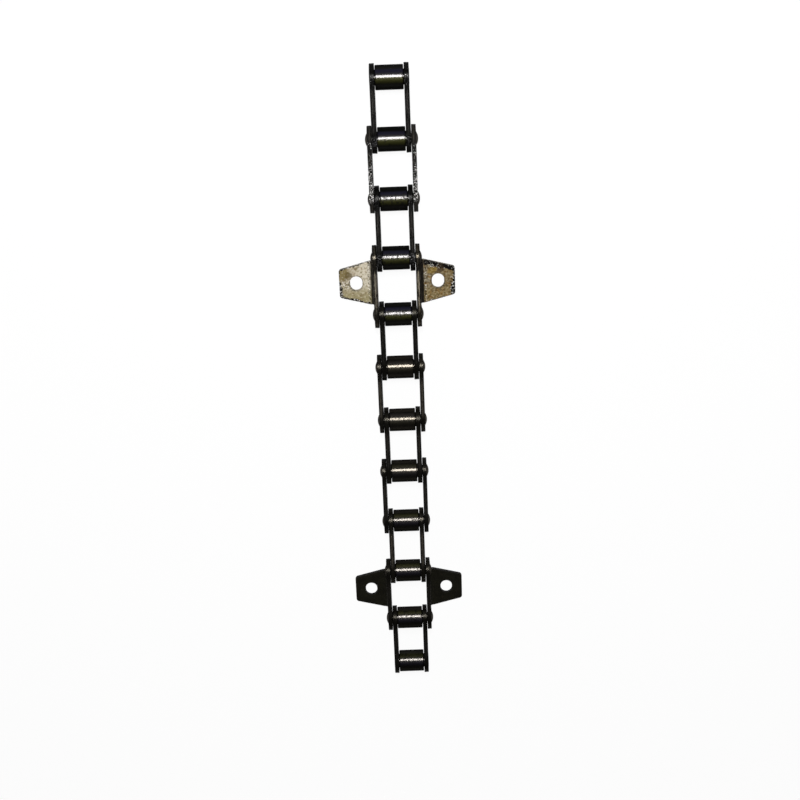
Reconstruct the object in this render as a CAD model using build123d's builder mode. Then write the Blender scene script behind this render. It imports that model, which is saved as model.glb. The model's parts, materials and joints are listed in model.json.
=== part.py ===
from build123d import *
import os
from math import sqrt

# Agricultural conveyor chain of 41.4 mm pitch, with two pairs of bent attachment tabs.
# The chain lies on a floor at z = 0 and runs along Y, with every pin along X. Joint 1 is at the +Y end.
# All sizes are in millimetres.

# Driving dimensions of the chain
pitch = 41.4
inner_width = 19.8
roller_diameter = 16.66
plate_height = 19.05
plate_thickness = 3.1
inner_plate_thickness = 3.4
pin_diameter = 7.16
bush_diameter = 10.6
link_count = 11
attachment_links = (4, 10)

# Clearances and fits
side_gap = 0.3
bush_stand_out = 0.15
roller_side_gap = 0.35
roller_radial_gap = 0.08
pin_radial_gap = 0.05

# Riveted pin heads and broken edges
head_height = 1.45
head_diameter = 9.5
crown_height = 0.8
crown_diameter = 6.8
head_tip_diameter = 3.6
roller_chamfer = 0.6

# Attachment tabs, bent outwards from the floor side of their plates
tab_step = 3.175
tab_span = 82.8
tab_root_width = 32.0
tab_end_width = 20.5
tab_corner_radius = 2.5
tab_hole_width = 8.8
tab_hole_length = 10.5
tab_hole_spacing = 58.4
bend_radius = 2.6
relief_width = 1.4
relief_radius = 0.5

# Faces of the plates, measured from the chain's middle plane
inner_face = inner_width / 2
inner_outside = inner_face + inner_plate_thickness
outer_face = inner_outside + side_gap
outer_outside = outer_face + plate_thickness

# The attachment links stand on their tabs, higher than the other links stand on their edges
floor_height = plate_height / 2
tab_height = floor_height + tab_step
joint_count = link_count + 1


def joint_height(joint):
    """Height of a pin axis: joints of attachment links are held up by the tabs."""
    on_tabs = any(joint in (link, link + 1) for link in attachment_links)
    return tab_height if on_tabs else floor_height


def joint_points():
    """Pin axes from the +Y end to the -Y end, each link exactly one pitch long."""
    heights = [joint_height(joint) for joint in range(1, joint_count + 1)]
    runs = [sqrt(pitch**2 - (b - a) ** 2) for a, b in zip(heights, heights[1:])]
    places = [sum(runs) / 2]
    for run in runs:
        places.append(places[-1] - run)
    return [Vector(0, y, z) for y, z in zip(places, heights)]


joints = joint_points()


def side_plane(link, side):
    """Plane in the middle of a link that faces out of one side: x along the link and y up."""
    ahead = joints[link - 1]
    behind = joints[link]
    along = (ahead - behind).normalized()
    return Plane((ahead + behind) / 2, x_dir=along * side, z_dir=(side, 0, 0))


def axle_plane(joint):
    """Plane across one joint, its normal along the pin."""
    return Plane(joints[joint - 1], x_dir=(0, 1, 0), z_dir=(1, 0, 0))


def export(part, name):
    part.label = name
    export_step(part, f"parts/{name}.step")


def tube(joint, length, outside, bore):
    """Round sleeve centred on a joint, used by the bushes."""
    with BuildPart() as sleeve:
        with BuildSketch(axle_plane(joint).offset(-length / 2)):
            Circle(outside / 2)
            Circle(bore / 2, mode=Mode.SUBTRACT)
        extrude(amount=length)
    return sleeve.part


def bush(joint):
    """Bush pressed into both inner plates and standing a little out of them."""
    length = 2 * (inner_outside + bush_stand_out)
    return tube(joint, length, bush_diameter, pin_diameter + 2 * pin_radial_gap)


def roller(joint):
    """Roller turning freely on its bush, with the rims of its outside broken."""
    length = inner_width - 2 * roller_side_gap
    bore = bush_diameter + 2 * roller_radial_gap
    with BuildPart() as body:
        add(tube(joint, length, roller_diameter, bore))
        rims = body.edges().filter_by(GeomType.CIRCLE).group_by(SortBy.RADIUS)[-1]
        chamfer(rims, length=roller_chamfer)
    return body.part


def plate(link, side, face, thickness, hole_diameter):
    """Link plate with straight flanks and round ends, its two holes on the joints."""
    with BuildPart() as body:
        with BuildSketch(side_plane(link, side).offset(face)):
            SlotCenterToCenter(pitch, plate_height)
            with GridLocations(pitch, 0, 2, 1):
                Circle(hole_diameter / 2, mode=Mode.SUBTRACT)
        extrude(amount=thickness)
    return body.part


def tab(link, side):
    """Tab with its bend: a bent strip trimmed to a tapered outline, with one bolt hole."""
    wall = side_plane(link, side)
    reach = tab_span / 2
    bend_x = outer_outside + bend_radius
    bend_y = -tab_height + plate_thickness + bend_radius
    across = Plane(wall.origin, x_dir=wall.z_dir, z_dir=-wall.x_dir)
    above = Plane(wall.origin, x_dir=wall.z_dir, z_dir=wall.y_dir)
    with BuildPart() as body:
        with BuildSketch(across):
            with BuildLine():
                Line((outer_face, bend_y), (outer_outside, bend_y))
                CenterArc((bend_x, bend_y), bend_radius, 180, 90)
                Line((bend_x, bend_y - bend_radius), (reach, bend_y - bend_radius))
                Line((reach, bend_y - bend_radius), (reach, -tab_height))
                Line((reach, -tab_height), (bend_x, -tab_height))
                CenterArc((bend_x, bend_y), bend_radius + plate_thickness, 180, 90)
            make_face()
        extrude(amount=tab_root_width / 2, both=True)
        with BuildSketch(above) as outline:
            with BuildLine():
                Polyline(
                    (outer_face, tab_root_width / 2),
                    (bend_x, tab_root_width / 2),
                    (reach, tab_end_width / 2),
                    (reach, -tab_end_width / 2),
                    (bend_x, -tab_root_width / 2),
                    (outer_face, -tab_root_width / 2),
                    close=True,
                )
            make_face()
            fillet(outline.vertices().group_by(Axis.X)[-1], tab_corner_radius)
            with Locations((tab_hole_spacing / 2, 0)):
                SlotOverall(tab_hole_length, tab_hole_width, 90, mode=Mode.SUBTRACT)
        extrude(amount=2 * tab_height, both=True, mode=Mode.INTERSECT)
    return body.part


def attachment_plate(link, side):
    """Outer plate whose floor edge is bent out into a tab, with relief notches beside the bend."""
    relief_top = -tab_height + plate_thickness + bend_radius
    relief_span = tab_root_width + 2 * relief_width
    depth = relief_top + plate_height / 2
    with BuildPart() as body:
        add(plate(link, side, outer_face, plate_thickness, pin_diameter))
        with BuildSketch(side_plane(link, side).offset(outer_face)) as notch:
            with Locations((0, relief_top - depth)):
                RectangleRounded(relief_span, 2 * depth, relief_radius)
        extrude(amount=plate_thickness, mode=Mode.SUBTRACT)
        add(tab(link, side))
    return body.part


def pin(joint):
    """Pin with a domed, riveted head at each end, drawn tight against the outer plates."""
    shoulder = outer_outside
    crown = shoulder + crown_height
    end = shoulder + head_height
    with BuildPart() as body:
        with BuildSketch(Plane(joints[joint - 1])):
            with BuildLine():
                Polyline(
                    (-end, 0),
                    (-end, head_tip_diameter / 2),
                    (-crown, crown_diameter / 2),
                    (-shoulder, head_diameter / 2),
                    (-shoulder, pin_diameter / 2),
                    (shoulder, pin_diameter / 2),
                    (shoulder, head_diameter / 2),
                    (crown, crown_diameter / 2),
                    (end, head_tip_diameter / 2),
                    (end, 0),
                    close=True,
                )
            make_face()
        revolve(axis=Axis(joints[joint - 1], (1, 0, 0)))
    return body.part


os.makedirs("parts", exist_ok=True)

for joint in range(1, joint_count + 1):
    export(bush(joint), f"bush_{joint:02d}")
    export(roller(joint), f"roller_{joint:02d}")

for joint in range(2, joint_count):
    export(pin(joint), f"pin_{joint:02d}")

for link in range(1, link_count + 1):
    for side, hand in ((1, "right"), (-1, "left")):
        if link % 2:
            made = plate(link, side, inner_face, inner_plate_thickness, bush_diameter)
            export(made, f"inner_plate_{link:02d}_{hand}")
        elif link in attachment_links:
            export(attachment_plate(link, side), f"attachment_plate_{link:02d}_{hand}")
        else:
            made = plate(link, side, outer_face, plate_thickness, pin_diameter)
            export(made, f"outer_plate_{link:02d}_{hand}")
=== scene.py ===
import json
from math import asin, atan2, cos, pi, radians, sin, tau
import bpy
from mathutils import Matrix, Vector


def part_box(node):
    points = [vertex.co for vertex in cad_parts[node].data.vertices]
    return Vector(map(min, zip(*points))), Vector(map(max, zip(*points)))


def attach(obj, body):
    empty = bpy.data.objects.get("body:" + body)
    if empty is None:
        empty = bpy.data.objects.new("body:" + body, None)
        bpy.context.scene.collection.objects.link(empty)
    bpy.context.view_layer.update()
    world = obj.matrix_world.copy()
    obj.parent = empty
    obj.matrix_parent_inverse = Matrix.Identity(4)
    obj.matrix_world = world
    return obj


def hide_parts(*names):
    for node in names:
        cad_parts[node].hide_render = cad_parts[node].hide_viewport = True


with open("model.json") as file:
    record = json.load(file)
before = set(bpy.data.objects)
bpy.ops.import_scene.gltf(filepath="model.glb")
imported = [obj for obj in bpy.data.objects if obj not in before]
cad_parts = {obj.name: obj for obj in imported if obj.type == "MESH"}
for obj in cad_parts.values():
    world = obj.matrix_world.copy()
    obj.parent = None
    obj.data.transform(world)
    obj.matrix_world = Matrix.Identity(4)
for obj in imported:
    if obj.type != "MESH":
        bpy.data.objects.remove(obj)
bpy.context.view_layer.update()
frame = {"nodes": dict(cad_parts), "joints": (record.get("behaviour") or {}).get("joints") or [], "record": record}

from types import SimpleNamespace

import bmesh
import bpy
from mathutils import Matrix, Vector, noise

# Conveyor chain with two pairs of bent attachment tabs. Shapes and patterns are worked out in
# millimetres, in each piece's own flat or turned frame, and then put in their place in metres.

# The frame is in metres
MILLIMETRES = 1000.0
METRES = 1.0 / MILLIMETRES

# Stamped plates
plate_rounding = 0.32
plate_rounding_steps = 4
plate_edge_band = 0.55
shear_step = 0.07
shear_height = 0.25
shear_run = 0.2
plate_point_spacing = 1.1
plate_end_steps = 30
corner_steps = 10
plate_support_gap = 0.06
plate_merge_distance = 0.004

# Dents in plate edges, and how far their pattern shifts from link to link and side to side
dent_depth = 0.12
dent_scale = 0.55
dent_cover = 0.15
dent_shift_x = 7.3
dent_shift_y = 3.1
dent_side_shift = 0.4

# Wear of every edge: where it ends, where it is full, and the least turn of an edge that wears
wear_reach = 0.5
full_wear_reach = 0.1
least_sharp_turn = radians(25)

# Turned pieces; the guide is the circle that a cross-section runs round
turned_steps = 96
turned_guide_radius = 1.0
turned_rounding_steps = 5
turned_support_gap = 0.08
turned_merge_distance = 0.002
roller_bore = 5.38
roller_rounding = 0.6
bush_bore = 3.63
bush_rounding = 0.25
pin_radius = 3.58
head_rounding = 0.15
head_radius = 4.75
dome_steps = 9

# Attachment tabs
tab_root_half = 16.0
tab_root_corner_radius = 3.0
tab_end_half = 10.25
tab_corner_radius = 2.5
bend_radius = 2.6
bend_cuts = 9
bend_cut_tolerance = 0.0001
relief_width = 1.4
relief_radius = 0.5
relief_mouth_radius = 0.58

# Studio, in metres and degrees
floor_radius = 2.6
floor_steps = 96
floor_rings = 4
floor_bend = 0.5
floor_bend_steps = 8
wall_height = 1.35
floor_tone = 0.86
floor_white_share = 0.93
camera_place = (0.0071, 0.3592, 0.9293)
camera_turn = (-21.61, 0.48, -2.05)
camera_lens = 60.75
camera_sensor = 36.0
sky_strength = 0.1

# Place, size and power of the lamps
LAMPS = {
    "key_lamp": ((0.0, 0.49, 0.90), (0.08, 0.30), 12.0),
    "left_lamp": ((-0.9, 0.1, 0.6), (0.7, 0.9), 1.0),
    "right_lamp": ((0.9, 0.1, 0.6), (0.7, 0.9), 1.0),
}


# --- Sizes taken from the frame ---------------------------------------------------------------

def corners(node):
    """Lowest and highest corner of a solid, in millimetres."""
    low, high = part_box(node)
    return low * MILLIMETRES, high * MILLIMETRES


def joint_places():
    """Pin axis of every joint, in millimetres, by joint number."""
    places = {}
    for joint in frame["joints"]:
        number = int(joint["name"].split("_")[1])
        places[number] = Vector(joint["pos_m"]) * MILLIMETRES
    return places


joints = joint_places()
bodies = frame["record"]["behaviour"]["bodies"]
body_of = {node: body for body, members in bodies.items() for node in members}
slot_of = {
    "inner_plate": "plate_steel",
    "outer_plate": "plate_steel",
    "attachment_plate": "tab_steel",
    "roller": "roller_steel",
    "bush": "bush_steel",
    "pin": "pin_steel",
}


def kind_of(node):
    """What a node is: the part of its name before its number."""
    return next(kind for kind in slot_of if node.startswith(kind))


pitch = (joints[1] - joints[2]).length
inner_low, inner_high = corners("inner_plate_07_right")
outer_low, outer_high = corners("outer_plate_06_right")
tab_low, tab_high = corners("attachment_plate_04_right")
inner_thickness = inner_high.x - inner_low.x
outer_thickness = outer_high.x - outer_low.x
plate_half_height = (outer_high.z - outer_low.z) / 2
tab_drop = joints[4].z - tab_low.z

# Bolt slots of the tabs, which run along the chain
bolt_slots = next(m for m in frame["record"]["mounts"] if m["name"] == "tab_slots_right")
slot_radius = bolt_slots["dims"]["hole_r_mm"]
slot_run = bolt_slots["dims"]["slot_length_mm"] / 2 - slot_radius
slot_reach = bolt_slots["pos_m"][0] * MILLIMETRES

# Levels of the flat pattern of an attachment plate, below its pin axes
bend_middle = bend_radius + outer_thickness / 2
bend_length = bend_middle * pi / 2
bend_x = outer_high.x + bend_radius
bend_line = bend_radius + outer_thickness - tab_drop
tab_root = bend_line - bend_length
tab_end = tab_root - (tab_high.x - bend_x)
slot_level = tab_root - (slot_reach - bend_x)


# --- Node trees: small helpers ----------------------------------------------------------------

def add(tree, kind, inputs=None, **settings):
    """New node with its settings and inputs; an input is a value or another node's output."""
    node = tree.nodes.new(kind)
    for key, value in settings.items():
        setattr(node, key, value)
    for key, value in (inputs or {}).items():
        if isinstance(value, bpy.types.NodeSocket):
            tree.links.new(value, node.inputs[key])
        else:
            node.inputs[key].default_value = value
    return node


def output(tree, kind, inputs=None, **settings):
    """First output of a new node."""
    return add(tree, kind, inputs, **settings).outputs[0]


def maths(tree, operation, a, b=0.0):
    return output(tree, "ShaderNodeMath", {0: a, 1: b}, operation=operation)


def plus(tree, a, b):
    return maths(tree, "ADD", a, b)


def less(tree, a, b):
    return maths(tree, "SUBTRACT", a, b)


def times(tree, a, b):
    return maths(tree, "MULTIPLY", a, b)


def larger(tree, a, b):
    return maths(tree, "MAXIMUM", a, b)


def unsigned(tree, value):
    return maths(tree, "ABSOLUTE", value)


# Inputs that both shape trees have
EDGE_INPUTS = {
    "Edge Rounding": "Float",
    "Rounding Steps": "Int",
    "Wear Reach": "Float",
    "Finish": "Material",
}


def shape_tree(name, sizes):
    """Empty shape tree with its named inputs, and the nodes for its two ends."""
    tree = bpy.data.node_groups.new(name, "GeometryNodeTree")
    face = tree.interface
    face.new_socket("Geometry", in_out="INPUT", socket_type="NodeSocketGeometry")
    for label, kind in sizes.items():
        face.new_socket(label, in_out="INPUT", socket_type="NodeSocket" + kind)
    face.new_socket("Geometry", in_out="OUTPUT", socket_type="NodeSocketGeometry")
    return tree, tree.nodes.new("NodeGroupInput").outputs, tree.nodes.new("NodeGroupOutput")


def finish_tree(tree, shape, given, end):
    """Last nodes of a shape tree: smooth faces, real geometry, its material."""
    smooth = output(tree, "GeometryNodeSetShadeSmooth", {"Geometry": shape})
    real = output(tree, "GeometryNodeRealizeInstances", {"Geometry": smooth})
    dressed = output(
        tree, "GeometryNodeSetMaterial", {"Geometry": real, "Material": given["Finish"]}
    )
    tree.links.new(dressed, end.inputs[0])
    return tree


def rounded_profile(tree, polyline, given):
    """Cross-section with rounded corners, and how worn each of its points is."""
    curve = output(tree, "GeometryNodeMeshToCurve", {"Mesh": polyline})
    rounding = {
        "Curve": curve,
        "Count": given["Rounding Steps"],
        "Radius": given["Edge Rounding"],
        "Limit Radius": True,
    }
    rounded = output(tree, "GeometryNodeFilletCurve", rounding, mode="POLY")
    sharp = output(tree, "GeometryNodeInputNamedAttribute", {"Name": "sharp"}, data_type="FLOAT")
    corner = output(tree, "GeometryNodeMeshToPoints", {"Mesh": polyline, "Selection": sharp})
    near = add(tree, "GeometryNodeProximity", {"Geometry": corner}, target_element="POINTS")
    fading = {
        "Value": near.outputs["Distance"],
        "From Min": given["Wear Reach"],
        "From Max": full_wear_reach,
        "To Min": 0.0,
        "To Max": 1.0,
    }
    worn = output(tree, "ShaderNodeMapRange", fading)
    return output(
        tree,
        "GeometryNodeStoreNamedAttribute",
        {"Geometry": rounded, "Name": "wear", "Value": worn},
        data_type="FLOAT",
        domain="POINT",
    )


def open_loops(tree, band, height):
    """The band's free edges, as the loops of its upper half and those of its lower half."""
    faces_beside = output(tree, "GeometryNodeInputMeshEdgeNeighbors")
    free = output(
        tree, "FunctionNodeCompare", {2: faces_beside, 3: 1}, data_type="INT", operation="EQUAL"
    )
    loops = output(
        tree, "GeometryNodeSeparateGeometry", {"Geometry": band, "Selection": free}, domain="EDGE"
    )
    upper = output(
        tree,
        "FunctionNodeCompare",
        {0: height, 1: 0.0},
        data_type="FLOAT",
        operation="GREATER_THAN",
    )
    halves = {"Geometry": loops, "Selection": upper}
    return add(tree, "GeometryNodeSeparateGeometry", halves, domain="POINT").outputs


def stamped_plate_tree():
    """Flat plate: its rim's cross-section runs round every outline, and both faces are filled."""
    sizes = {"Rim": "Object", "Thickness": "Float", **EDGE_INPUTS}
    tree, given, end = shape_tree("stamped_plate", sizes)
    rim = add(tree, "GeometryNodeObjectInfo", {"Object": given["Rim"]}).outputs["Geometry"]
    profile = rounded_profile(tree, rim, given)
    outline = output(tree, "GeometryNodeMeshToCurve", {"Mesh": given["Geometry"]})
    band = output(tree, "GeometryNodeCurveToMesh", {"Curve": outline, "Profile Curve": profile})
    position = output(tree, "GeometryNodeInputPosition")
    x, y, z = add(tree, "ShaderNodeSeparateXYZ", {0: position}).outputs
    parts = add(tree, "GeometryNodeJoinGeometry")
    tree.links.new(band, parts.inputs[0])
    for loops, share in zip(open_loops(tree, band, z), (0.5, -0.5)):
        curve = output(tree, "GeometryNodeMeshToCurve", {"Mesh": loops})
        filled = output(tree, "GeometryNodeFillCurve", {"Curve": curve}, mode="TRIANGLES")
        level = times(tree, given["Thickness"], share)
        place = output(tree, "ShaderNodeCombineXYZ", {"X": x, "Y": y, "Z": level})
        face = output(tree, "GeometryNodeSetPosition", {"Geometry": filled, "Position": place})
        tree.links.new(face, parts.inputs[0])
    doubled = {"Geometry": parts.outputs[0], "Distance": plate_merge_distance}
    whole = output(tree, "GeometryNodeMergeByDistance", doubled)
    return finish_tree(tree, whole, given, end)


def turned_part_tree():
    """Turned piece: its cross-section runs round a circle, and its axis lies along X."""
    sizes = {"Steps Round": "Int", "Guide Radius": "Float", **EDGE_INPUTS}
    tree, given, end = shape_tree("turned_part", sizes)
    profile = rounded_profile(tree, given["Geometry"], given)
    back = times(tree, given["Guide Radius"], -1.0)
    offset = output(tree, "ShaderNodeCombineXYZ", {"X": back})
    shifted = output(tree, "GeometryNodeSetPosition", {"Geometry": profile, "Offset": offset})
    circle = {"Resolution": given["Steps Round"], "Radius": given["Guide Radius"]}
    guide = output(tree, "GeometryNodeCurvePrimitiveCircle", circle, mode="RADIUS")
    body = output(tree, "GeometryNodeCurveToMesh", {"Curve": guide, "Profile Curve": shifted})
    doubled = {"Geometry": body, "Distance": turned_merge_distance}
    closed = output(tree, "GeometryNodeMergeByDistance", doubled)
    laid = output(
        tree, "GeometryNodeTransform", {"Geometry": closed, "Rotation": (0.0, pi / 2, 0.0)}
    )
    return finish_tree(tree, laid, given, end)


# --- Polylines that the trees start from ------------------------------------------------------

def polyline_mesh(name, loops, sharp=None):
    """Mesh of edges only. A loop is (points, closed); sharp marks the corners that wear."""
    mesh = bpy.data.meshes.new(name)
    points = []
    edges = []
    for run, closed in loops:
        first = len(points)
        points += [(x, y, 0.0) for x, y in run]
        edges += [(first + i, first + i + 1) for i in range(len(run) - 1)]
        if closed:
            edges.append((len(points) - 1, first))
    mesh.from_pydata(points, edges, [])
    if sharp:
        mark = mesh.attributes.new("sharp", "FLOAT", "POINT")
        mark.data.foreach_set("value", sharp)
    return mesh


def with_supports(points, closed, reach):
    """Polyline with a point just past each corner's rounding, so that flats stay flat."""
    made = []
    sharp = []
    shortest_run = 2.2 * reach
    for i, point in enumerate(points):
        here = Vector(point)
        last = i == len(points) - 1
        if not closed and (i == 0 or last):
            made.append(tuple(here))
            sharp.append(0.0)
            continue
        before = Vector(points[i - 1])
        after = Vector(points[0 if last else i + 1])
        turn = (here - before).angle(after - here)
        for there in (before, here, after):
            run = (there - here).length
            if there is here:
                made.append(tuple(here))
                sharp.append(1.0 if turn > least_sharp_turn else 0.0)
            elif run > shortest_run:
                made.append(tuple(here + (there - here) * (reach / run)))
                sharp.append(0.0)
    return made, sharp


def arc(centre, radius, start, sweep, steps):
    """Points of an arc, both ends included; angles in radians."""
    angles = [start + sweep * i / steps for i in range(steps + 1)]
    return [(centre[0] + radius * cos(a), centre[1] + radius * sin(a)) for a in angles]


def spaced(points, spacing):
    """Closed outline with points added along its long straight runs."""
    made = []
    for here, there in zip(points, points[1:] + points[:1]):
        start = Vector(here)
        run = Vector(there) - start
        pieces = max(1, round(run.length / spacing))
        made += [tuple(start + run * (i / pieces)) for i in range(pieces)]
    return made


def hole(centre, radius, steps=48):
    """Round hole; it runs clockwise, so the plate lies on its left."""
    return arc(centre, radius, 0.0, -tau * (steps - 1) / steps, steps - 1)


def slot(centre, radius, run, steps=24):
    """Hole with two round ends, run either way from its centre; clockwise too."""
    x, y = centre
    ahead = arc((x + run, y), radius, pi / 2, -pi, steps)
    return ahead + arc((x - run, y), radius, -pi / 2, -pi, steps)


def round_corners(points, radii):
    """Closed outline, counter-clockwise, with each corner rounded to its radius."""
    made = []
    count = len(points)
    for i, radius in enumerate(radii):
        here = Vector(points[i])
        before = (Vector(points[i - 1]) - here).normalized()
        after = (Vector(points[(i + 1) % count]) - here).normalized()
        if radius == 0:
            made.append(tuple(here))
            continue
        half = before.angle(after) / 2
        inward = (before + after).normalized()
        centre = here + inward * (radius / sin(half))
        nearest = centre - inward * radius
        middle = (nearest - centre).angle_signed(Vector((1, 0)))
        turn = pi - 2 * half
        left = before.x * after.y - before.y * after.x < 0
        sweep = turn if left else -turn
        steps = max(2, round(corner_steps * turn / (pi / 2)))
        made += arc(centre, radius, middle - sweep / 2, sweep, steps)
    return made


def round_ends():
    """Both round ends of a plate, counter-clockwise; straight flanks join them."""
    half = pitch / 2
    ahead = arc((half, 0), plate_half_height, -pi / 2, pi, plate_end_steps)
    return ahead + arc((-half, 0), plate_half_height, pi / 2, pi, plate_end_steps)


def attachment_outline():
    """Flat pattern of an attachment plate: the tab hangs from its lower flank, unbent."""
    notch = tab_root_half + relief_width
    right = [
        (notch, -plate_half_height, relief_mouth_radius),
        (notch, bend_line, relief_radius),
        (tab_root_half, bend_line, relief_radius),
        (tab_root_half, tab_root, tab_root_corner_radius),
        (tab_end_half, tab_end, tab_corner_radius),
    ]
    lower = [(-x, y, radius) for x, y, radius in right] + right[::-1]
    ends = round_ends()
    points = ends + [(x, y) for x, y, _ in lower]
    radii = [0] * len(ends) + [radius for _, _, radius in lower]
    return round_corners(points, radii)


# --- Making the pieces ------------------------------------------------------------------------

def grow(name, base, tree, sizes):
    """Runs a shape tree on a polyline and returns the plain mesh that it makes."""
    holder = bpy.data.objects.new(name, base)
    bpy.context.scene.collection.objects.link(holder)
    modifier = holder.modifiers.new("shape", "NODES")
    modifier.node_group = tree
    for item in tree.interface.items_tree:
        if item.item_type == "SOCKET" and item.in_out == "INPUT" and item.name in sizes:
            modifier[item.identifier] = sizes[item.name]
    depsgraph = bpy.context.evaluated_depsgraph_get()
    grown = holder.evaluated_get(depsgraph)
    mesh = bpy.data.meshes.new_from_object(
        grown, preserve_all_data_layers=True, depsgraph=depsgraph
    )
    bpy.data.objects.remove(holder)
    mesh.name = name
    return mesh


def turn_outwards(mesh):
    """All faces of a closed shell point out of it."""
    work = bmesh.new()
    work.from_mesh(mesh)
    bmesh.ops.recalc_face_normals(work, faces=work.faces)
    work.to_mesh(mesh)
    work.free()


def nick_edges(mesh, seed):
    """Small dents pressed into the worn edges, never outwards."""
    wear = mesh.attributes["wear"].data
    normals = [vertex.normal.copy() for vertex in mesh.vertices]
    shift = Vector((seed * dent_shift_x, seed * dent_shift_y, 0))
    for vertex, normal in zip(mesh.vertices, normals):
        worn = wear[vertex.index].value
        if worn > 0:
            dent = max(0.0, noise.noise(vertex.co * dent_scale + shift) + dent_cover)
            vertex.co -= normal * (dent_depth * worn * dent)


def keep_flat_place(mesh, side=1):
    """Each point's place on the flat piece, its x towards the +Y end on either side."""
    place = mesh.attributes.new("flat", "FLOAT_VECTOR", "POINT")
    for vertex in mesh.vertices:
        x, y, z = vertex.co
        place.data[vertex.index].vector = (x * side, y, z)


def mark_rim(mesh, turned=False):
    """1 on the sheared edges of a flat plate, or on the end faces of a turned piece."""
    rim = mesh.attributes.new("rim", "FLOAT", "POINT")
    for vertex in mesh.vertices:
        x, _, z = vertex.normal
        rim.data[vertex.index].value = abs(x) if turned else 1.0 - abs(z)


def bend_tab(mesh):
    """Cuts the flat pattern across its bend and folds the tab outwards."""
    work = bmesh.new()
    work.from_mesh(mesh)
    for cut in range(bend_cuts + 1):
        level = bend_line - bend_length * cut / bend_cuts
        bmesh.ops.bisect_plane(
            work,
            geom=list(work.verts) + list(work.edges) + list(work.faces),
            dist=bend_cut_tolerance,
            plane_co=(0, level, 0),
            plane_no=(0, 1, 0),
        )
    work.to_mesh(mesh)
    work.free()
    centre = outer_thickness / 2 + bend_radius
    for vertex in mesh.vertices:
        past = bend_line - vertex.co.y
        if past <= 0:
            continue
        radius = centre - vertex.co.z
        turn = min(past / bend_middle, pi / 2)
        beyond = max(0.0, past - bend_length)
        vertex.co.z = centre - radius * cos(turn) + beyond
        vertex.co.y = bend_line - radius * sin(turn)


def link_place(link, side, middle_x):
    """From a plate's flat frame to its place: along the link, up, and out of its side."""
    ahead = joints[link]
    behind = joints[link + 1]
    along = (ahead - behind).normalized() * side
    out = Vector((side, 0, 0))
    up = out.cross(along)
    turn = Matrix((along, up, out)).transposed().to_4x4()
    middle = (ahead + behind) / 2 + out * middle_x
    return Matrix.Scale(METRES, 4) @ Matrix.Translation(middle) @ turn


def add_piece(node, mesh, place):
    """Puts a finished mesh in its place, where it stands for a solid of the frame."""
    mesh.transform(place)
    mesh.update()
    piece = bpy.data.objects.new(node + "_finished", mesh)
    bpy.context.scene.collection.objects.link(piece)
    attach(piece, body_of[node])
    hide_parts(node)


# --- Materials --------------------------------------------------------------------------------
# A noise lies between 0 and 1, mostly near 0.5. The two numbers of a ramp are where a pattern
# starts to show and where it shows fully.

# How far past its threshold each layer of a finish takes to show fully
FADE = {"rust": 0.14, "rim": 0.25, "streak": 0.16, "chip_glint": 0.06, "edge": 0.3, "smear": 0.1}

# Depth of the relief on plates and on turned pieces, in metres
plate_relief = 0.00008
turned_relief = 0.0001


def cloud(tree, place, size, detail=3.0, roughness=0.5, stretch=None):
    """Soft noise whose spots are about size millimetres across."""
    if stretch:
        place = output(tree, "ShaderNodeMapping", {"Vector": place, "Scale": stretch})
    made = add(
        tree,
        "ShaderNodeTexNoise",
        {"Vector": place, "Scale": 1.0 / size, "Detail": detail, "Roughness": roughness},
    )
    return made.outputs["Fac"]


def ramp(tree, value, low, high, bottom=0.0, top=1.0):
    """Value from bottom to top as its source goes from low to high."""
    return output(
        tree,
        "ShaderNodeMapRange",
        {"Value": value, "From Min": low, "From Max": high, "To Min": bottom, "To Max": top},
        interpolation_type="SMOOTHSTEP",
    )


def distance(tree, x, y, place=(0.0, 0.0)):
    """How far a point (x, y) is from a place on the same flat."""
    here = output(tree, "ShaderNodeCombineXYZ", {0: x, 1: y})
    away = add(tree, "ShaderNodeVectorMath", {0: here, 1: place + (0.0,)}, operation="DISTANCE")
    return away.outputs["Value"]


def swayed(tree, value, noise_value, amount):
    """Value pushed up and down by a noise, so that a border through it is ragged."""
    push = {0: noise_value, 1: amount, 2: value}
    return less(tree, output(tree, "ShaderNodeMath", push, operation="MULTIPLY_ADD"), amount / 2)


def shown(tree, value, look, layer):
    """How much of a layer shows: nothing below its threshold, its full share past its fade."""
    start = look[layer + "_from"]
    return ramp(tree, value, start, start + FADE[layer], 0.0, look[layer + "_share"])


def mixed(tree, amount, a, b):
    """Colour or number between a and b; it is a number where either of them is written as one."""
    if isinstance(a, float) or isinstance(b, float):
        return output(tree, "ShaderNodeMix", {0: amount, 2: a, 3: b}, data_type="FLOAT")
    a, b = [value + (1.0,) if isinstance(value, tuple) else value for value in (a, b)]
    return add(tree, "ShaderNodeMix", {0: amount, 6: a, 7: b}, data_type="RGBA").outputs[2]


def laid_over(tree, under, amount, colour, metal, rough):
    """Surface (colour, metal, rough) with another finish laid over part of it."""
    return tuple(mixed(tree, amount, a, b) for a, b in zip(under, (colour, metal, rough)))


def start_material(name, look):
    """New material with its tree, its surface shader and each point's place in millimetres."""
    material = bpy.data.materials.new(name)
    material.use_nodes = True
    tree = material.node_tree
    place = add(tree, "ShaderNodeTexCoord").outputs["Object"]
    place = output(tree, "ShaderNodeMapping", {"Vector": place, "Scale": (MILLIMETRES,) * 3})
    surface = tree.nodes["Principled BSDF"]
    surface.inputs["Specular IOR Level"].default_value = look["gloss"]
    surface.inputs["Specular Tint"].default_value = (look["edge_gloss"],) * 3 + (1.0,)
    return material, tree, surface, place


def attribute(tree, name):
    """A piece's own attribute: a place or three numbers in one, or a single number."""
    node = add(tree, "ShaderNodeAttribute", attribute_name=name)
    return node.outputs["Vector" if name in ("flat", "fringe_and_wear") else "Fac"]


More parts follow.
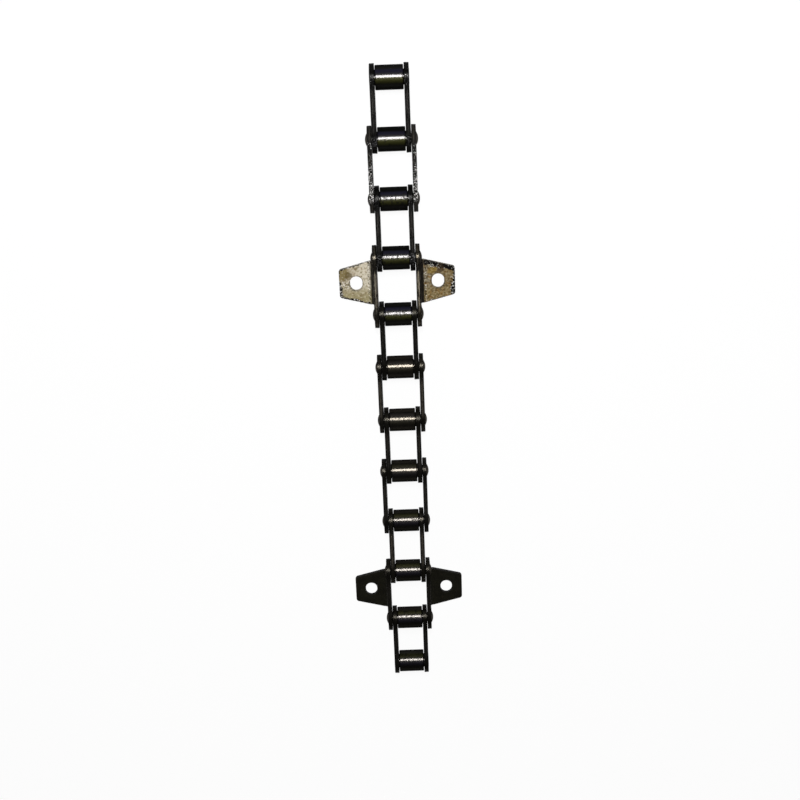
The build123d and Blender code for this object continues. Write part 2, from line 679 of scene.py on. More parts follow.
def bright_edges(tree, place, coat, look):
    """Steel rubbed bare on the sharpest edges."""
    scratches = cloud(tree, place, 1.5, detail=4.0, roughness=0.65)
    bright = shown(tree, swayed(tree, attribute(tree, "wear"), scratches, 1.0), look, "edge")
    return laid_over(tree, coat, bright, look["edge"], look["edge_metal"], look["edge_rough"])


def finish_surface(tree, surface, coat, relief, strength, depth):
    """Links the layered coat and its relief to the shader."""
    for value, socket in zip(coat, ("Base Color", "Metallic", "Roughness")):
        tree.links.new(value, surface.inputs[socket])
    bump = output(
        tree, "ShaderNodeBump", {"Strength": strength, "Distance": depth, "Height": relief}
    )
    tree.links.new(bump, surface.inputs["Normal"])


# --- Finish of plates and tabs ----------------------------------------------------------------
# A layer takes the coat below it (colour, metal, roughness) and gives the coat with it on top.

def flat_sheet(tree, place, look):
    """A point's place on the flat sheet, and the noises that several layers share."""
    flat = attribute(tree, "flat")
    along, across, through = add(tree, "ShaderNodeSeparateXYZ", {0: flat}).outputs
    sheet = SimpleNamespace(place=place, flat=flat, along=along, across=across, through=through)
    sheet.past_pin = less(tree, unsigned(tree, along), pitch / 2)
    sheet.rim = attribute(tree, "rim")
    sheet.mottle = cloud(tree, place, look["mottle_size"], detail=4.0, roughness=0.55)
    sheet.grain = cloud(tree, place, look["grain_size"], detail=5.0, roughness=0.6)
    sheet.patch = cloud(tree, place, look["rim_patch"], roughness=0.55)
    sheet.spots = cloud(tree, place, look["spot_size"], detail=4.0, roughness=0.65)
    if look["tab"]:
        # The tab's pale tone fades out towards the bend and leaves it dark: partly dark film, partly painted shade
        # of the bend and of the plate over it
        above, below = look["bend_shade_fade"]
        level = swayed(tree, across, sheet.mottle, 1.0)
        sheet.on_tab = ramp(tree, level, tab_root + above, tab_root - below)
        sheet.border = times(tree, tab_border(tree, sheet, look), sheet.on_tab)
    return sheet


def tab_border(tree, sheet, look):
    """1 on the ragged dark border along a tab's flanks and end, and 0 inside it."""
    out = unsigned(tree, sheet.along)
    flank = Vector((tab_root_half - tab_end_half, tab_root - tab_end)).normalized()
    down = times(tree, less(tree, sheet.across, tab_root), flank.x)
    side = times(tree, less(tree, tab_root_half, out), flank.y)
    from_flank = plus(tree, side, down)
    flank_width = ramp(tree, sheet.along, -1.0, 1.0, *look["border_flanks"])
    from_end = less(tree, sheet.across, tab_end)
    end_width = ramp(tree, sheet.along, -4.0, 4.0, *look["border_end"])
    depth = less(tree, flank_width, from_flank)
    depth = larger(tree, depth, less(tree, end_width, from_end))
    return ramp(tree, swayed(tree, depth, sheet.patch, look["border_ragged"]), -0.15, 0.25)


def spot_at(tree, sheet, place, reach, noise_value):
    """1 round one place of a tab, fading out at a ragged border."""
    away = distance(tree, sheet.along, sheet.across, place)
    away = swayed(tree, away, noise_value, 2 * reach)
    return ramp(tree, away, 1.3 * reach, 0.6 * reach)


def face_layer(tree, sheet, coat, look):
    """Smudged film on the flat faces of a plate, down to its bend, far lighter than on the sheared edges: partly a
    greyer film, partly painted light making up for the little lamp light that upright faces get.
    """
    smudge = cloud(tree, sheet.flat, 5.0, detail=5.0, roughness=0.6, stretch=(0.5, 1.0, 1.0))
    face = mixed(tree, ramp(tree, smudge, 0.36, 0.64), look["face"], look["face_deep"])
    face = mixed(tree, ramp(tree, sheet.grain, 0.50, 0.62, 0.0, 0.5), face, look["face_deep"])
    above_bend = ramp(tree, sheet.across, bend_line - 1.5, bend_line)
    upright = times(tree, ramp(tree, sheet.rim, 0.5, 0.1), above_bend)
    rough = ramp(tree, smudge, 0.35, 0.65, 0.36, 0.55)
    return laid_over(tree, coat, upright, face, look["face_metal"], rough)


def worn_and_lit_tab_layer(tree, sheet, coat, look):
    """Pale worn colour of a tab, which changes to its end and to the rear, with a stain and grain; the paleness is
    partly painted light, a bright reflection put into the colour, as the same tabs on link 10 stay dark.
    """
    down = swayed(tree, sheet.across, sheet.mottle, look["outer_ragged"])
    outer = ramp(tree, down, tab_root, tab_end)
    tone = mixed(tree, outer, look["tab"], look["tab_outer"])
    back = swayed(tree, sheet.along, sheet.mottle, look["behind_ragged"])
    tone = mixed(tree, ramp(tree, back, 1.0, -10.0), tone, look["tab_behind"])
    stain = spot_at(tree, sheet, look["stain_at"], look["stain_reach"], sheet.mottle)
    tone = mixed(tree, times(tree, stain, 0.9), tone, look["stain"])
    tone = mixed(tree, ramp(tree, sheet.mottle, 0.50, 0.70, 0.0, 0.8), tone, look["tab_deep"])
    deep_grain = ramp(tree, sheet.grain, 0.49, 0.60, 0.0, look["tab_grain"])
    tone = mixed(tree, deep_grain, tone, look["tab_deep"])
    light_grain = ramp(tree, sheet.grain, 0.45, 0.36, 0.0, look["tab_grain"])
    tone = mixed(tree, light_grain, tone, look["tab_light"])
    return laid_over(tree, coat, sheet.on_tab, tone, 0.0, 0.6)


def rust_layer(tree, sheet, coat, look):
    """Rust in spots; on a plate with a worn tab it lies on the tab only."""
    rusty = shown(tree, sheet.spots, look, "rust")
    if look["tab"]:
        rusty = times(tree, rusty, sheet.on_tab)
    rust = mixed(tree, ramp(tree, sheet.grain, 0.3, 0.7), look["rust"], look["rust_deep"])
    return laid_over(tree, coat, rusty, rust, 0.0, 0.8)


def rim_layer(tree, sheet, coat, look):
    """Thicker film on the sheared edges and on the borders of a worn tab, and painted shade round its slot."""
    dark = shown(tree, swayed(tree, sheet.rim, sheet.patch, look["rim_ragged"]), look, "rim")
    if look["tab"]:
        dark = larger(tree, dark, times(tree, sheet.border, look["rim_share"]))
        # Painted shade: darker round the rim of the slot
        past = larger(tree, less(tree, unsigned(tree, sheet.along), slot_run), 0.0)
        from_slot = distance(tree, past, less(tree, sheet.across, slot_level))
        round_slot = ramp(tree, less(tree, from_slot, slot_radius), 1.3, 0.3)
        dark = mixed(tree, round_slot, dark, 0.35)
    return laid_over(tree, coat, dark, look["rim"], look["film_metal"], look["rough"])


def blot_layer(tree, sheet, coat, look):
    """One dark blot on a worn tab."""
    blot = spot_at(tree, sheet, look["blot_at"], look["blot_reach"], sheet.patch)
    return laid_over(tree, coat, times(tree, blot, look["blot_share"]), look["blot"], 0.0, 0.6)


def streak_layer(tree, sheet, coat, look):
    """Bare streaks along the middle of the sheared edges."""
    streak = cloud(tree, sheet.flat, 0.55, roughness=0.6, stretch=(0.05, 0.05, 1.0))
    start = look["streak_from"]
    streaked = ramp(tree, streak, start, start + FADE["streak"])
    middle = ramp(tree, unsigned(tree, sheet.through), 1.15, 0.25)
    share = times(tree, sheet.rim, look["streak_share"])
    streaked = times(tree, times(tree, streaked, middle), share)
    return laid_over(tree, coat, streaked, look["streak"], 0.6, 0.45)


def chip_and_glint_layer(tree, sheet, coat, look):
    """Pale chips, with dark dots between them, where the film has come off; their near-white colour, and the
    places where they crowd on a tab and at some pin ends, are partly painted glints.
    """
    chipped = ramp(tree, sheet.rim, 0.1, 0.6, look["chip_faces"], look["chip_edges"])
    if look["tab"]:
        # Painted glints: near-white chips in a row along the line where the bend meets the tab, in the dark border
        # and at one spot
        from_root = unsigned(tree, less(tree, sheet.across, tab_root - 0.8))
        chipped = larger(tree, chipped, ramp(tree, from_root, 1.0, 0.5))
        chipped = larger(tree, chipped, sheet.border)
        glint_spot = spot_at(tree, sheet, look["glint_spot_at"], look["glint_spot_reach"], sheet.mottle)
        chipped = larger(tree, chipped, glint_spot)
        down_bend = ramp(tree, sheet.across, bend_line, tab_root, 0.15, 1.0)
        chipped = times(tree, chipped, down_bend)
    # Chips fade out past the pins; on some plates they crowd round both pin ends instead, as painted glints
    near, gone = look["end_glints"] or (-2.0, 1.0)
    from_pin = unsigned(tree, sheet.past_pin) if look["end_glints"] else sheet.past_pin
    chipped = times(tree, chipped, ramp(tree, from_pin, gone, near))
    flakes = cloud(tree, sheet.place, look["chip_size"], roughness=0.7)
    flakes = less(tree, flakes, times(tree, sheet.along, look["chip_slope"]))
    dots = times(tree, ramp(tree, flakes, 0.46, 0.41, 0.0, look["dot_share"]), chipped)
    coat = laid_over(tree, coat, dots, look["rim"], 0.0, 0.6)
    chips_and_glints = times(tree, shown(tree, flakes, look, "chip_glint"), chipped)
    return laid_over(tree, coat, chips_and_glints, look["chip_glint"], 0.7, 0.35)


def oil_layer(tree, sheet, coat, look):
    """Oil spread round the pins."""
    from_pin = distance(tree, sheet.past_pin, sheet.across)
    from_pin = swayed(tree, from_pin, sheet.mottle, look["oil_ragged"])
    oily = ramp(tree, from_pin, look["oil_reach"] + look["oil_fade"], look["oil_reach"])
    oily = times(tree, oily, look["oil_share"])
    return laid_over(tree, coat, oily, look["oil"], 0.9, look["oil_rough"])


def plate_finish(name, look):
    """Black film on stamped steel, with everything that lies on it, from below to above."""
    material, tree, surface, place = start_material(name, look)
    sheet = flat_sheet(tree, place, look)
    film = mixed(tree, ramp(tree, sheet.mottle, 0.35, 0.65), look["film"], look["film_deep_and_shade"])
    coat = (film, look["film_metal"], look["rough"])
    coat = face_layer(tree, sheet, coat, look)
    if look["tab"]:
        coat = worn_and_lit_tab_layer(tree, sheet, coat, look)
    coat = rust_layer(tree, sheet, coat, look)
    coat = rim_layer(tree, sheet, coat, look)
    if look["tab"]:
        coat = blot_layer(tree, sheet, coat, look)
    coat = streak_layer(tree, sheet, coat, look)
    coat = bright_edges(tree, place, coat, look)
    if look["chip_glint_share"]:
        coat = chip_and_glint_layer(tree, sheet, coat, look)
    coat = oil_layer(tree, sheet, coat, look)

    colour, metal, rough = coat
    rough = swayed(tree, rough, sheet.grain, 0.25)
    relief = plus(tree, sheet.grain, times(tree, sheet.spots, look["pits"]))
    finish_surface(tree, surface, (colour, metal, rough), relief, look["bump"], plate_relief)
    return material


# --- Finish of turned pieces ------------------------------------------------------------------

def fringed_and_shaded_film(tree, lean, brown, mottle, look):
    """Film with a painted colour fringe, bluish on one side of the key lamp's highlight line and olive on the
    other, and painted shade on the sides turned away from it; it is browner on some rollers.
    """
    fringe_and_wear = swayed(tree, lean, mottle, 0.08)
    film = mixed(tree, ramp(tree, fringe_and_wear, -0.38, -0.12), look["cool"], look["plain"])
    film = mixed(tree, ramp(tree, fringe_and_wear, 0.05, 0.36), film, look["warm"])
    # Painted shade: darker on the sides of a roller turned away from its highlight line, and all round its back
    away = unsigned(tree, lean)
    film = mixed(tree, ramp(tree, away, 0.42, 0.66), film, look["film_deep_and_shade"])
    film = mixed(tree, brown, film, look["brown"])
    rough = ramp(tree, away, 0.06, 0.34, look["rough"], look["rough_away"])
    return film, look["metal"], rough


def turned_finish(name, look):
    """Oiled black steel of the turned pieces, with rings round the axis, a painted colour fringe round the key
    lamp's highlight line and painted shade away from it.
    """
    material, tree, surface, place = start_material(name, look)
    surface.inputs["Coat Weight"].default_value = look["oil_film"]
    surface.inputs["Coat Roughness"].default_value = look["oil_rough"]
    fringe_and_wear = attribute(tree, "fringe_and_wear")
    lean, brown, scuffed = add(tree, "ShaderNodeSeparateXYZ", {0: fringe_and_wear}).outputs
    mottle = cloud(tree, place, look["mottle_size"], detail=4.0, roughness=0.55)
    grain = cloud(tree, place, 0.7, detail=4.0, roughness=0.6)
    flat = attribute(tree, "flat")
    rings = cloud(tree, flat, 0.6, roughness=0.6, stretch=(1.0, 0.05, 0.05))
    smear = cloud(tree, place, look["smear_size"], roughness=0.6)
    coat = fringed_and_shaded_film(tree, lean, brown, mottle, look)

    # Lighter end faces: partly rubbed steel, partly painted light for faces turned to the side, which the lamps
    # light little
    on_end = ramp(tree, attribute(tree, "rim"), 0.55, 0.9)
    end = mixed(tree, ramp(tree, smear, 0.35, 0.65, 0.0, 0.6), look["end"], look["smear"])
    coat = laid_over(tree, coat, on_end, end, look["metal"], 0.38)

    smeared = shown(tree, plus(tree, smear, times(tree, scuffed, 0.08)), look, "smear")
    coat = laid_over(tree, coat, smeared, look["smear"], look["metal"], look["smear_rough"])
    scored = plus(tree, rings, times(tree, scuffed, 0.1))
    scored = ramp(tree, scored, 0.68, 0.74, 0.0, look["score_share"])
    coat = laid_over(tree, coat, scored, look["score"], look["metal"], 0.45)
    coat = bright_edges(tree, place, coat, look)

    colour, metal, rough = coat
    rough = swayed(tree, rough, grain, 0.12)
    relief = plus(tree, smear, times(tree, rings, look["rings"]))
    finish_surface(tree, surface, (colour, metal, rough), relief, look["bump"], turned_relief)
    return material


# --- Looks ------------------------------------------------------------------------------------
# Every plate starts from the black one and says only what differs. A layer has a colour, a
# threshold (from) and a share; sizes and places are in millimetres on the flat sheet. Only a
# plate with a tab colour has a worn tab, whose pale tone is partly painted light.
BLACK_PLATE = {
    "gloss": 0.12,
    "edge_gloss": 0.3,
    "film": (0.0085, 0.008, 0.0065),
    "film_deep_and_shade": (0.0045, 0.0042, 0.0038),
    "film_metal": 0.0,
    "rough": 0.6,
    # Face colours: partly a greyer film, partly painted light for upright faces that the lamps light little
    "face": (0.066, 0.060, 0.051),
    "face_deep": (0.034, 0.031, 0.026),
    "face_metal": 0.5,
    "mottle_size": 6.0,
    "grain_size": 0.7,
    "tab": None,
    "spot_size": 2.4,
    "rust": (0.075, 0.040, 0.018),
    "rust_deep": (0.034, 0.020, 0.011),
    "rust_from": 0.60,
    "rust_share": 0.5,
    "rim": (0.0035, 0.0032, 0.003),
    "rim_from": 0.4,
    "rim_share": 0.8,
    "rim_patch": 8.0,
    "rim_ragged": 0.3,
    "streak": (0.040, 0.036, 0.029),
    "streak_from": 0.44,
    "streak_share": 0.8,
    "oil": (0.0105, 0.0097, 0.0078),
    "oil_reach": 9.0,
    "oil_fade": 5.0,
    "oil_ragged": 5.0,
    "oil_share": 0.85,
    "oil_rough": 0.22,
    "edge": (0.20, 0.18, 0.16),
    "edge_from": 0.85,
    "edge_share": 0.4,
    "edge_metal": 0.8,
    "edge_rough": 0.4,
    "chip_glint_share": 0.0,
    "chip_edges": 1.0,
    "end_glints": None,
    "dot_share": 0.9,
    "pits": 0.3,
    "bump": 0.4,
}

# Plates whose edges have lost their film in chips
WORN_PLATE = {
    "oil": (0.005, 0.005, 0.0048),
    "chip_size": 0.8,
    "chip_slope": 0.002,
    "chip_glint_share": 0.95,
}

# The two tabs of link 4, worn down to the metal; their pale tone is partly painted light, a bright reflection that
# the same tabs of link 10 don't get
WORN_AND_LIT_TAB = {
    "mottle_size": 3.0,
    "grain_size": 1.5,
    "outer_ragged": 9.0,
    "behind_ragged": 8.0,
    "blot_reach": 2.6,
    "rim_patch": 2.6,
    "streak_share": 0.75,
    "chip_slope": 0.0,
    "chip_faces": 0.0,
    "glint_spot_reach": 3.8,
}

PLATE_LOOKS = {
    "plate_black": {},
    "plate_brown": {
        "streak": (0.060, 0.053, 0.042),
        "streak_from": 0.38,
        "streak_share": 0.9,
    },
    "plate_deep": {
        "film": (0.006, 0.0055, 0.005),
        "film_deep_and_shade": (0.003, 0.0028, 0.0025),
        "rim": (0.0022, 0.0021, 0.002),
        "streak_share": 0.4,
        "edge_share": 0.15,
    },
    "plate_grey": {
        **WORN_PLATE,
        "rim": (0.0025, 0.0024, 0.0024),
        "streak": (0.042, 0.039, 0.035),
        "edge_share": 0.15,
        "chip_glint": (0.85, 0.84, 0.86),
        "chip_glint_from": 0.57,
        "chip_faces": 0.2,
        # Painted glints round the pin ends
        "end_glints": (2.0, 5.0),
    },
    "plate_speckled": {
        **WORN_PLATE,
        "rim": (0.004, 0.004, 0.004),
        "chip_glint": (0.88, 0.86, 0.84),
        "chip_glint_from": 0.565,
        "chip_faces": 0.15,
        "oil_reach": 3.0,
        "oil_share": 0.8,
    },
    "tab_worn": {
        **WORN_AND_LIT_TAB,
        "film": (0.016, 0.0135, 0.010),
        "film_deep_and_shade": (0.007, 0.006, 0.0045),
        "face": (0.105, 0.090, 0.068),
        "face_deep": (0.040, 0.034, 0.026),
        # Pale tab colours: partly wear and rust, partly painted light of a bright reflection
        "tab": (0.52, 0.475, 0.375),
        "tab_outer": (0.36, 0.31, 0.22),
        "tab_behind": (0.27, 0.235, 0.13),
        "tab_deep": (0.17, 0.135, 0.07),
        "tab_light": (0.60, 0.55, 0.46),
        "tab_grain": 0.45,
        "bend_shade_fade": (2.2, 1.2),
        "stain": (0.14, 0.105, 0.035),
        "stain_at": (7.1, -32.8),
        "stain_reach": 5.5,
        "blot": (0.09, 0.065, 0.025),
        "blot_at": (6.0, -29.0),
        "blot_share": 0.7,
        "glint_spot_at": (-0.5, -30.5),
        "rust": (0.22, 0.135, 0.05),
        "rust_deep": (0.10, 0.06, 0.025),
        "rust_from": 0.55,
        "rust_share": 0.75,
        "rim": (0.005, 0.004, 0.003),
        "rim_share": 0.95,
        "rim_ragged": 1.6,
        "border_flanks": (1.5, 0.6),
        "border_end": (2.2, 0.3),
        "border_ragged": 4.0,
        "streak": (0.34, 0.30, 0.23),
        "chip_glint": (0.90, 0.86, 0.80),
        "chip_size": 1.2,
        "chip_glint_from": 0.545,
        "chip_glint_share": 0.8,
        "dot_share": 0.75,
        "chip_edges": 0.4,
    },
    "tab_rusty": {
        **WORN_AND_LIT_TAB,
        "film": (0.013, 0.011, 0.008),
        "film_deep_and_shade": (0.006, 0.005, 0.004),
        "face": (0.090, 0.075, 0.054),
        "face_deep": (0.034, 0.028, 0.021),
        # Tab colours: partly wear and rust, partly painted light of a bright reflection
        "tab": (0.20, 0.175, 0.125),
        "tab_outer": (0.17, 0.125, 0.058),
        "tab_behind": (0.19, 0.145, 0.07),
        "tab_deep": (0.070, 0.050, 0.020),
        "tab_light": (0.32, 0.27, 0.16),
        "tab_grain": 0.7,
        "bend_shade_fade": (0.9, 0.5),
        "stain": (0.20, 0.135, 0.03),
        "stain_at": (8.3, -19.6),
        "stain_reach": 3.5,
        "blot": (0.040, 0.026, 0.014),
        "blot_at": (9.6, -25.5),
        "blot_share": 0.8,
        "glint_spot_at": (-1.0, -34.0),
        "rust": (0.22, 0.125, 0.035),
        "rust_deep": (0.075, 0.042, 0.018),
        "rust_from": 0.50,
        "rust_share": 0.8,
        "rim": (0.003, 0.0025, 0.002),
        "rim_share": 1.0,
        "rim_ragged": 0.4,
        "border_flanks": (0.4, 3.3),
        "border_end": (3.0, 0.8),
        "border_ragged": 4.5,
        "streak": (0.42, 0.36, 0.26),
        "chip_glint": (0.8, 0.78, 0.72),
        "chip_size": 1.3,
        "chip_glint_from": 0.58,
        "chip_glint_share": 0.85,
        "chip_edges": 0.5,
    },
    "tab_dark": {
        "film": (0.0085, 0.008, 0.005),
        "film_deep_and_shade": (0.0055, 0.005, 0.0035),
        "gloss": 0.1,
        "rust_share": 0.15,
        "rim": (0.005, 0.0045, 0.004),
        "streak_share": 0.15,
        "edge_share": 0.2,
    },
}

# Rollers, bushes and pins
TURNED_STEEL = {
    "gloss": 0.5,
    "edge_gloss": 0.3,
    "oil_film": 0.03,
    "oil_rough": 0.5,
    # The cool and warm colours are a painted colour fringe either side of the highlight line, and the deep film
    # colour is painted shade on the sides turned away from it
    "cool": (0.0145, 0.0136, 0.026),
    "plain": (0.0175, 0.0168, 0.0168),
    "warm": (0.036, 0.036, 0.010),
    "brown": (0.0185, 0.0163, 0.0130),
    "film_deep_and_shade": (0.0105, 0.0103, 0.0088),
    "score": (0.006, 0.0056, 0.005),
    "end": (0.075, 0.068, 0.058),
    "metal": 0.97,
    "rough": 0.2,
    "rough_away": 0.4,
    "mottle_size": 5.0,
    "smear": (0.010, 0.0095, 0.0085),
    "smear_size": 2.6,
    "smear_from": 0.60,
    "smear_share": 0.7,
    "smear_rough": 0.36,
    "score_share": 0.8,
    "edge": (0.16, 0.15, 0.14),
    "edge_from": 0.85,
    "edge_share": 0.4,
    "edge_metal": 1.0,
    "edge_rough": 0.35,
    "rings": 0.4,
    "bump": 0.06,
}

TURNED_LOOKS = {
    "roller_blued": {},
    "bush_oiled": {"smear_share": 0.4},
    "pin_oiled": {
        "cool": (0.008, 0.0075, 0.007),
        "plain": (0.0085, 0.008, 0.007),
        "warm": (0.009, 0.0085, 0.007),
        "brown": (0.008, 0.0075, 0.0065),
        "film_deep_and_shade": (0.005, 0.0045, 0.004),
        "end": (0.085, 0.077, 0.066),
        "smear": (0.009, 0.0085, 0.0075),
        "score_share": 0.0,
        "smear_size": 1.2,
        "rings": 0.1,
        "bump": 0.15,
        "edge_share": 0.5,
        "edge_from": 0.8,
    },
}

# How brown and how scuffed the rollers are, by joint
BROWN = {6: 0.9, 7: 0.9, 8: 0.8, 9: 0.5, 10: 0.45, 11: 0.4, 12: 0.4}
SCUFFED = {3: 1.0, 4: 0.8, 5: 0.7, 6: 0.3, 7: 0.5, 9: 0.3, 11: 0.8, 12: 0.8}

# Line of the key lamp's highlight on a roller, round which the painted fringe and shade are set: degrees past its
# crown, and more at each joint down the chain; and the joint where the fringe's sides swap
highlight_lean = 14.0
highlight_lean_step = 2.1
fringe_swap_joint = 8

# Looks of the plates by link, and of the plates with tabs by link and side; the rest are plain
LINK_LOOKS = {
    1: "plate_grey",
    2: "plate_speckled",
    3: "plate_grey",
    5: "plate_deep",
    6: "plate_brown",
    9: "plate_brown",
    11: "plate_deep",
}
TAB_LOOKS = {(4, 1): "tab_rusty", (4, -1): "tab_worn"}

finishes = {}
for name, look in PLATE_LOOKS.items():
    finishes[name] = plate_finish(name, {**BLACK_PLATE, **look})
for name, look in TURNED_LOOKS.items():
    finishes[name] = turned_finish(name, {**TURNED_STEEL, **look})


# --- The chain --------------------------------------------------------------------------------

plate_tree = stamped_plate_tree()
turned_tree = turned_part_tree()


def rim_object(thickness):
    """Cross-section of a plate's rim: a rounded edge, the sheared step, another rounded edge."""
    half = thickness / 2
    line = [
        (-plate_edge_band, half),
        (0.0, half),
        (0.0, shear_height),
        (-shear_step, shear_height - shear_run),
        (-shear_step, -half),
        (-plate_edge_band, -half),
    ]
    points, sharp = with_supports(line, False, plate_rounding + plate_support_gap)
    made = bpy.data.objects.new("rim", polyline_mesh("rim", [(points, False)], sharp))
    bpy.context.scene.collection.objects.link(made)
    return made


def plate_openings(kind):
    """Holes of a plate: seats for two bushes or two pins, and the bolt slot of a tab."""
    seat = pin_radius
    if kind == "inner_plate":
        low, high = corners("bush_07")
        seat = (high.z - low.z) / 2
    openings = [hole((-pitch / 2, 0.0), seat), hole((pitch / 2, 0.0), seat)]
    if kind == "attachment_plate":
        openings.append(slot((0.0, slot_level), slot_radius, slot_run))
    return openings


def make_plate(node):
    """A plate on the side that its name says; a tab is stamped flat and then bent."""
    kind = kind_of(node)
    number, hand = node.split("_")[-2:]
    link = int(number)
    side = 1 if hand == "right" else -1
    inner = kind == "inner_plate"
    bent = kind == "attachment_plate"
    low, high = (inner_low, inner_high) if inner else (outer_low, outer_high)
    outline = attachment_outline() if bent else round_ends()
    look = TAB_LOOKS.get((link, side), "tab_dark") if bent else LINK_LOOKS.get(link, "plate_black")
    loops = [(spaced(outline, plate_point_spacing), True)]
    loops += [(opening, True) for opening in plate_openings(kind)]
    sizes = {
        "Rim": inner_rim if inner else outer_rim,
        "Thickness": high.x - low.x,
        "Edge Rounding": plate_rounding,
        "Rounding Steps": plate_rounding_steps,
        "Wear Reach": wear_reach,
        "Finish": finishes[look],
    }
    mesh = grow(node, polyline_mesh(node, loops), plate_tree, sizes)
    turn_outwards(mesh)
    mark_rim(mesh)
    nick_edges(mesh, link + dent_side_shift * side)
    keep_flat_place(mesh, side)
    if bent:
        bend_tab(mesh)
        turn_outwards(mesh)
    add_piece(node, mesh, link_place(link, side, (low.x + high.x) / 2))


def mark_fringe_and_wear(mesh, joint):
    """How far each point leans from its roller's highlight line, which places the painted fringe and shade, and
    how brown and scuffed its roller is.
    """
    sign = 1 if joint < fringe_swap_joint else -1
    border = radians(highlight_lean + highlight_lean_step * (joint - 1))
    fringe_and_wear = mesh.attributes.new("fringe_and_wear", "FLOAT_VECTOR", "POINT")
    for vertex in mesh.vertices:
        turn = atan2(vertex.co.y, vertex.co.z) - border
        lean = -sign * sin(turn) if cos(turn) > 0 else sign
        fringe_and_wear.data[vertex.index].vector = (lean, BROWN.get(joint, 0.0), SCUFFED.get(joint, 0.0))


def sleeve_profile(bore, outside, half_length):
    """Cross-section of a roller or a bush: (radius, place along the axis)."""
    return [
        (bore, -half_length),
        (outside, -half_length),
        (outside, half_length),
        (bore, half_length),
    ]


def pin_profile(half_length):
    """Cross-section of a pin with a domed, riveted head at each end."""
    shoulder = outer_high.x
    dome = half_length - shoulder
    ball = (head_radius**2 + dome**2) / (2 * dome)
    spread = asin(head_radius / ball)
    end = [(pin_radius, shoulder)]
    for i in range(dome_steps, -1, -1):
        lean = spread * i / dome_steps
        end.append((ball * sin(lean), half_length - ball * (1 - cos(lean))))
    return [(radius, -x) for radius, x in reversed(end)] + end


# Bore, rounding and look of the turned pieces; a pin is solid
TURNED_KINDS = {
    "roller": (roller_bore, roller_rounding, "roller_blued"),
    "bush": (bush_bore, bush_rounding, "bush_oiled"),
    "pin": (None, head_rounding, "pin_oiled"),
}


def make_turned(node):
    """A roller, bush or pin on the axis of its joint."""
    bore, rounding, look = TURNED_KINDS[kind_of(node)]
    joint = int(node[-2:])
    low, high = corners(node)
    half_length = (high.x - low.x) / 2
    hollow = bore is not None
    if hollow:
        profile = sleeve_profile(bore, (high.z - low.z) / 2, half_length)
    else:
        profile = pin_profile(half_length)
    points, sharp = with_supports(profile, hollow, rounding + turned_support_gap)
    sizes = {
        "Steps Round": turned_steps,
        "Guide Radius": turned_guide_radius,
        "Edge Rounding": rounding,
        "Rounding Steps": turned_rounding_steps,
        "Wear Reach": wear_reach,
        "Finish": finishes[look],
    }
    mesh = grow(node, polyline_mesh(node, [(points, hollow)], sharp), turned_tree, sizes)
    turn_outwards(mesh)
    keep_flat_place(mesh)
    mark_rim(mesh, turned=True)
    mark_fringe_and_wear(mesh, joint)
    place = Matrix.Scale(METRES, 4) @ Matrix.Translation(joints[joint])
    add_piece(node, mesh, place)


inner_rim = rim_object(inner_thickness)
outer_rim = rim_object(outer_thickness)

for node in sorted(frame["nodes"]):
    if kind_of(node) in TURNED_KINDS:
        make_turned(node)
    else:
        make_plate(node)

bpy.data.objects.remove(inner_rim)
bpy.data.objects.remove(outer_rim)


# --- Studio -----------------------------------------------------------------------------------

def only_seen(tree):
    """1 for rays that come from the camera, a mirror-like surface or glass, and 0 for light."""
    ray = add(tree, "ShaderNodeLightPath").outputs
    seen = larger(tree, ray["Is Camera Ray"], ray["Is Glossy Ray"])
    return larger(tree, seen, ray["Is Transmission Ray"])


def floor_material():
    """Pale matt floor that looks almost pure white where it is seen."""
    material = bpy.data.materials.new("studio_floor")
    material.use_nodes = True
    tree = material.node_tree
    surface = tree.nodes["Principled BSDF"]
    surface.inputs["Base Color"].default_value = (floor_tone, floor_tone, floor_tone, 1)
    surface.inputs["Roughness"].default_value = 0.9
    surface.inputs["Specular IOR Level"].default_value = 0.0
    white = output(tree, "ShaderNodeEmission", {"Color": (1, 1, 1, 1), "Strength": 1.0})
    share = times(tree, only_seen(tree), floor_white_share)
    blend = output(tree, "ShaderNodeMixShader", {0: share, 1: surface.outputs[0], 2: white})
    tree.links.new(blend, tree.nodes["Material Output"].inputs["Surface"])
    return material


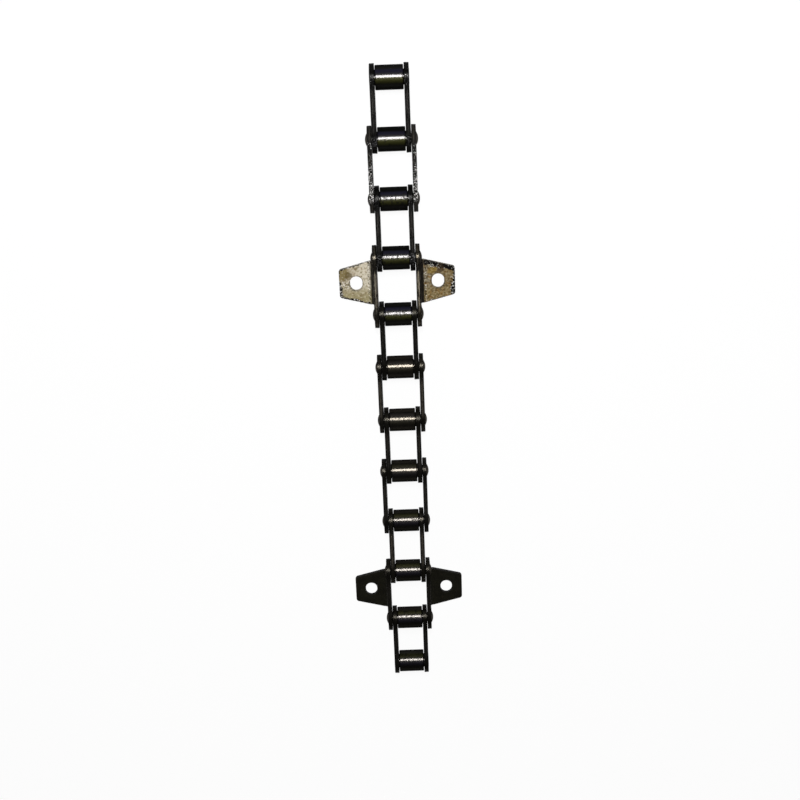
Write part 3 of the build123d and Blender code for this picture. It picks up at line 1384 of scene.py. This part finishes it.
def make_floor():
    """Round floor that curves up into a low wall all the way round."""
    turns = [pi / 2 * i / floor_bend_steps for i in range(1, floor_bend_steps + 1)]
    rings = [(floor_radius * i / floor_rings, 0.0) for i in range(1, floor_rings + 1)]
    rings += [(floor_radius + floor_bend * sin(a), floor_bend * (1 - cos(a))) for a in turns]
    rings.append((floor_radius + floor_bend, wall_height))
    work = bmesh.new()
    centre = work.verts.new((0, 0, 0))
    last = None
    for radius, height in rings:
        angles = [tau * i / floor_steps for i in range(floor_steps)]
        now = [work.verts.new((radius * cos(a), radius * sin(a), height)) for a in angles]
        for i in range(floor_steps):
            j = (i + 1) % floor_steps
            if last is None:
                work.faces.new((centre, now[i], now[j]))
            else:
                work.faces.new((last[i], now[i], now[j], last[j]))
        last = now
    for face in work.faces:
        face.smooth = True
    mesh = bpy.data.meshes.new("floor")
    work.to_mesh(mesh)
    work.free()
    mesh.materials.append(floor_material())
    floor = bpy.data.objects.new("floor", mesh)
    bpy.context.scene.collection.objects.link(floor)


def add_lamp(name, place, size, power):
    """Soft rectangular lamp that faces the middle of the chain."""
    light = bpy.data.lights.new(name, "AREA")
    light.shape = "RECTANGLE"
    light.size, light.size_y = size
    light.energy = power
    lamp = bpy.data.objects.new(name, light)
    lamp.location = place
    lamp.rotation_euler = (-Vector(place)).to_track_quat("-Z", "Y").to_euler()
    bpy.context.scene.collection.objects.link(lamp)


def add_camera():
    """Camera over the chain's upper half, looking down and a little towards its lower end."""
    data = bpy.data.cameras.new("camera")
    data.sensor_width = camera_sensor
    data.lens = camera_lens
    data.dof.use_dof = False
    camera = bpy.data.objects.new("camera", data)
    camera.location = camera_place
    camera.rotation_mode = "ZYX"
    camera.rotation_euler = [radians(turn) for turn in camera_turn]
    bpy.context.scene.collection.objects.link(camera)
    bpy.context.scene.camera = camera


def set_world():
    """Faint, even light from all round."""
    world = bpy.data.worlds.new("studio")
    world.use_nodes = True
    sky = world.node_tree.nodes["Background"]
    sky.inputs["Color"].default_value = (1, 1, 1, 1)
    sky.inputs["Strength"].default_value = sky_strength
    bpy.context.scene.world = world


make_floor()
add_camera()
set_world()
for name, (place, size, power) in LAMPS.items():
    add_lamp(name, place, size, power)
bpy.context.scene.view_settings.view_transform = "Standard"
